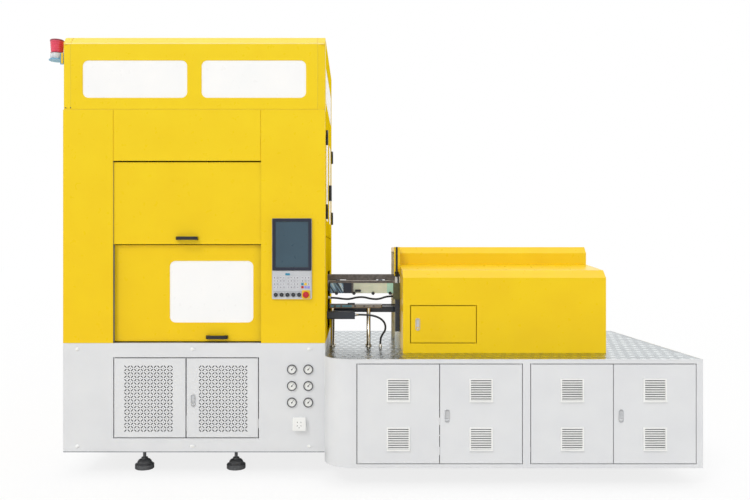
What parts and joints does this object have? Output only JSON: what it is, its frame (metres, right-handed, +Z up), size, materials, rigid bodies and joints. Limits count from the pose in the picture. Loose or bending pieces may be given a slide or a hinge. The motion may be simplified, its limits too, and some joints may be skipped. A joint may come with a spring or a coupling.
{
  "type": "blow moulding machine",
  "caption": "One-step injection stretch blow moulding machine: tall press tower with lifting doors, and a low cabinet whose deck carries the covered injection unit.",
  "frame": {"origin": "on the floor under the middle of the machine's box", "axes": "+X along the machine from the tower to the low cabinet, +Y from the operator's side to the back, +Z up"},
  "size_m": [4.237, 1.743, 2.911],
  "materials": {
    "yellow_enamel": "powder coat, satin",
    "grey_enamel": "powder coat, satin",
    "lock_zinc": "zinc plated",
    "black_plastic": "moulded",
    "stop_red": "moulded",
    "beacon_red": "moulded, translucent",
    "beacon_white": "moulded",
    "white_plastic": "moulded",
    "gauge_steel": "black rim, white dial",
    "control_paint": "powder coat with a dark screen",
    "clear_sheet": "clear plastic sheet",
    "frame_paint": "primer and paint",
    "foot_metal": "painted",
    "chequer_steel": "chequer plate",
    "navy_paint": "gloss paint",
    "tool_steel": "machined",
    "press_iron": "machined and painted",
    "equipment_paint": "painted",
    "hose_rubber": "smooth cover"
  },
  "bodies": {
    "root": {"base_panels": "grey_enamel", "beacon_base": "beacon_white", "beacon_lens": "beacon_red", "cabinet_equipment": "equipment_paint", "cabinet_shell": "grey_enamel", "control_panel": "control_paint", "deck_plate": "chequer_steel", "drain_hose": "hose_rubber", "enclosure_panels": "yellow_enamel", "fixed_windows": "clear_sheet", "front_hood": "yellow_enamel", "front_panels": "yellow_enamel", "gauge_cases": "gauge_steel", "injection_base": "navy_paint", "injection_covers": "yellow_enamel", "levelling_feet": "foot_metal", "line_hose": "hose_rubber", "machine_frame": "frame_paint", "mould_bases": "tool_steel", "press_frame": "press_iron", "purge_table": "tool_steel", "socket_outlet": "white_plastic"},
    "middle_door": {"middle_door": "yellow_enamel", "middle_door_handle": "black_plastic"},
    "lower_door": {"lower_door": "yellow_enamel", "lower_door_window": "clear_sheet", "lower_door_handle": "black_plastic"},
    "grille_door_left": {"grille_door_left": "grey_enamel"},
    "grille_door_right": {"grille_door_right": "grey_enamel"},
    "grille_lock_lever": {"grille_lock_lever": "lock_zinc"},
    "cabinet_door_1": {"cabinet_door_1": "grey_enamel"},
    "cabinet_door_2": {"cabinet_door_2": "grey_enamel"},
    "cabinet_door_2_lock_lever": {"cabinet_door_2_lock_lever": "lock_zinc"},
    "cabinet_door_3": {"cabinet_door_3": "grey_enamel"},
    "cabinet_door_4": {"cabinet_door_4": "grey_enamel"},
    "cabinet_door_4_lock_lever": {"cabinet_door_4_lock_lever": "lock_zinc"},
    "cover_hatch": {"cover_hatch": "yellow_enamel"},
    "hatch_lock_lever": {"hatch_lock_lever": "lock_zinc"},
    "side_door_front": {"side_door_front": "yellow_enamel"},
    "side_door_rear": {"side_door_rear": "yellow_enamel"},
    "emergency_stop": {"emergency_stop": "stop_red"},
    "push_button_1": {"push_button_1": "black_plastic"},
    "push_button_2": {"push_button_2": "black_plastic"},
    "push_button_3": {"push_button_3": "black_plastic"},
    "push_button_4": {"push_button_4": "black_plastic"},
    "push_button_5": {"push_button_5": "black_plastic"},
    "gauge_needle_1": {"gauge_needle_1": "black_plastic"},
    "gauge_needle_2": {"gauge_needle_2": "black_plastic"},
    "gauge_needle_3": {"gauge_needle_3": "black_plastic"},
    "gauge_needle_4": {"gauge_needle_4": "black_plastic"},
    "gauge_needle_5": {"gauge_needle_5": "black_plastic"},
    "gauge_needle_6": {"gauge_needle_6": "black_plastic"},
    "nozzle_guard": {"nozzle_guard": "navy_paint"},
    "injection_carriage": {"injection_carriage": "tool_steel"},
    "injection_screw": {"injection_screw": "tool_steel"},
    "rotary_table": {"rotary_table": "press_iron"},
    "moving_platen": {"moving_platen": "press_iron"},
    "blow_mould_outer": {"blow_mould_outer": "tool_steel"},
    "blow_mould_inner": {"blow_mould_inner": "tool_steel"},
    "stretch_rods": {"stretch_rods": "tool_steel"}
  },
  "joints": [
    {"name": "middle_door_lift", "type": "slide", "parent": "root", "child": "middle_door", "axis": [0, 0, 1], "range_m": [0, 0.47]},
    {"name": "lower_door_lift", "type": "slide", "parent": "root", "child": "lower_door", "axis": [0, 0, 1], "range_m": [0, 0.56]},
    {"name": "grille_door_left_hinge", "type": "hinge", "parent": "root", "child": "grille_door_left", "pos_m": [-1.641, -0.604, 0.5], "axis": [0, 0, 1], "range_deg": [-110, 0]},
    {"name": "grille_door_right_hinge", "type": "hinge", "parent": "root", "child": "grille_door_right", "pos_m": [-0.699, -0.604, 0.5], "axis": [0, 0, 1], "range_deg": [0, 110]},
    {"name": "grille_lock_lever_tilt", "type": "hinge", "parent": "grille_door_right", "child": "grille_lock_lever", "pos_m": [-1.1225, -0.607, 0.53], "axis": [1, 0, 0], "range_deg": [-35, 0]},
    {"name": "cabinet_door_1_hinge", "type": "hinge", "parent": "root", "child": "cabinet_door_1", "pos_m": [-0.035, -0.854, 0.47], "axis": [0, 0, 1], "range_deg": [-110, 0]},
    {"name": "cabinet_door_2_hinge", "type": "hinge", "parent": "root", "child": "cabinet_door_2", "pos_m": [0.988, -0.854, 0.47], "axis": [0, 0, 1], "range_deg": [0, 90]},
    {"name": "cabinet_door_2_lock_lever_tilt", "type": "hinge", "parent": "cabinet_door_2", "child": "cabinet_door_2_lock_lever", "pos_m": [0.524, -0.857, 0.482], "axis": [1, 0, 0], "range_deg": [-35, 0]},
    {"name": "cabinet_door_3_hinge", "type": "hinge", "parent": "root", "child": "cabinet_door_3", "pos_m": [1.055, -0.854, 0.47], "axis": [0, 0, 1], "range_deg": [-90, 0]},
    {"name": "cabinet_door_4_hinge", "type": "hinge", "parent": "root", "child": "cabinet_door_4", "pos_m": [2.078, -0.854, 0.47], "axis": [0, 0, 1], "range_deg": [0, 110]},
    {"name": "cabinet_door_4_lock_lever_tilt", "type": "hinge", "parent": "cabinet_door_4", "child": "cabinet_door_4_lock_lever", "pos_m": [1.614, -0.857, 0.482], "axis": [1, 0, 0], "range_deg": [-35, 0]},
    {"name": "cover_hatch_hinge", "type": "hinge", "parent": "root", "child": "cover_hatch", "pos_m": [0.747, -0.554, 1], "axis": [0, 0, 1], "range_deg": [0, 110]},
    {"name": "hatch_lock_lever_tilt", "type": "hinge", "parent": "cover_hatch", "child": "hatch_lock_lever", "pos_m": [0.363, -0.557, 1.028], "axis": [1, 0, 0], "range_deg": [-35, 0]},
    {"name": "side_door_front_hinge", "type": "hinge", "parent": "root", "child": "side_door_front", "pos_m": [-0.244, -0.481, 2], "axis": [0, 0, 1], "range_deg": [-110, 0]},
    {"name": "side_door_rear_hinge", "type": "hinge", "parent": "root", "child": "side_door_rear", "pos_m": [-0.244, 0.613, 2], "axis": [0, 0, 1], "range_deg": [0, 110]},
    {"name": "emergency_stop_press", "type": "slide", "parent": "root", "child": "emergency_stop", "axis": [0, 1, 0], "range_m": [0, 0.005], "stiffness_N_per_m": 600},
    {"name": "push_button_1_press", "type": "slide", "parent": "root", "child": "push_button_1", "axis": [0, 1, 0], "range_m": [0, 0.005], "stiffness_N_per_m": 300},
    {"name": "push_button_2_press", "type": "slide", "parent": "root", "child": "push_button_2", "axis": [0, 1, 0], "range_m": [0, 0.005], "stiffness_N_per_m": 300},
    {"name": "push_button_3_press", "type": "slide", "parent": "root", "child": "push_button_3", "axis": [0, 1, 0], "range_m": [0, 0.005], "stiffness_N_per_m": 300},
    {"name": "push_button_4_press", "type": "slide", "parent": "root", "child": "push_button_4", "axis": [0, 1, 0], "range_m": [0, 0.005], "stiffness_N_per_m": 300},
    {"name": "push_button_5_press", "type": "slide", "parent": "root", "child": "push_button_5", "axis": [0, 1, 0], "range_m": [0, 0.005], "stiffness_N_per_m": 300},
    {"name": "gauge_needle_1_turn", "type": "hinge", "parent": "root", "child": "gauge_needle_1", "pos_m": [-0.471, -0.617, 0.49], "axis": [0, 1, 0], "range_deg": [-175, 95]},
    {"name": "gauge_needle_2_turn", "type": "hinge", "parent": "root", "child": "gauge_needle_2", "pos_m": [-0.363, -0.617, 0.49], "axis": [0, 1, 0], "range_deg": [-175, 95]},
    {"name": "gauge_needle_3_turn", "type": "hinge", "parent": "root", "child": "gauge_needle_3", "pos_m": [-0.471, -0.617, 0.599], "axis": [0, 1, 0], "range_deg": [-175, 95]},
    {"name": "gauge_needle_4_turn", "type": "hinge", "parent": "root", "child": "gauge_needle_4", "pos_m": [-0.363, -0.617, 0.599], "axis": [0, 1, 0], "range_deg": [-175, 95]},
    {"name": "gauge_needle_5_turn", "type": "hinge", "parent": "root", "child": "gauge_needle_5", "pos_m": [-0.471, -0.617, 0.708], "axis": [0, 1, 0], "range_deg": [-175, 95]},
    {"name": "gauge_needle_6_turn", "type": "hinge", "parent": "root", "child": "gauge_needle_6", "pos_m": [-0.363, -0.617, 0.708], "axis": [0, 1, 0], "range_deg": [-175, 95]},
    {"name": "nozzle_guard_hinge", "type": "hinge", "parent": "root", "child": "nozzle_guard", "pos_m": [0.0065, -0.185, 1.28], "axis": [1, 0, 0], "range_deg": [-90, 0]},
    {"name": "injection_carriage_retract", "type": "slide", "parent": "root", "child": "injection_carriage", "axis": [1, 0, 0], "range_m": [0, 0.15]},
    {"name": "injection_screw_turn", "type": "hinge", "parent": "injection_carriage", "child": "injection_screw", "pos_m": [0.265, 0.091, 1.24], "axis": [1, 0, 0], "continuous": true},
    {"name": "rotary_table_turn", "type": "hinge", "parent": "root", "child": "rotary_table", "pos_m": [-1.114, 0.091, 1.52], "axis": [0, 0, 1], "continuous": true},
    {"name": "moving_platen_press", "type": "slide", "parent": "root", "child": "moving_platen", "axis": [0, 0, -1], "range_m": [0, 0.3]},
    {"name": "blow_mould_outer_open", "type": "slide", "parent": "root", "child": "blow_mould_outer", "axis": [-1, 0, 0], "range_m": [0, 0.07]},
    {"name": "blow_mould_inner_open", "type": "slide", "parent": "root", "child": "blow_mould_inner", "axis": [1, 0, 0], "range_m": [0, 0.07]},
    {"name": "stretch_rods_down", "type": "slide", "parent": "root", "child": "stretch_rods", "axis": [0, 0, -1], "range_m": [0, 0.24]}
  ],
  "couplings": [
    {"joint": "blow_mould_inner_open", "follows": "blow_mould_outer_open", "ratio": 1}
  ]
}
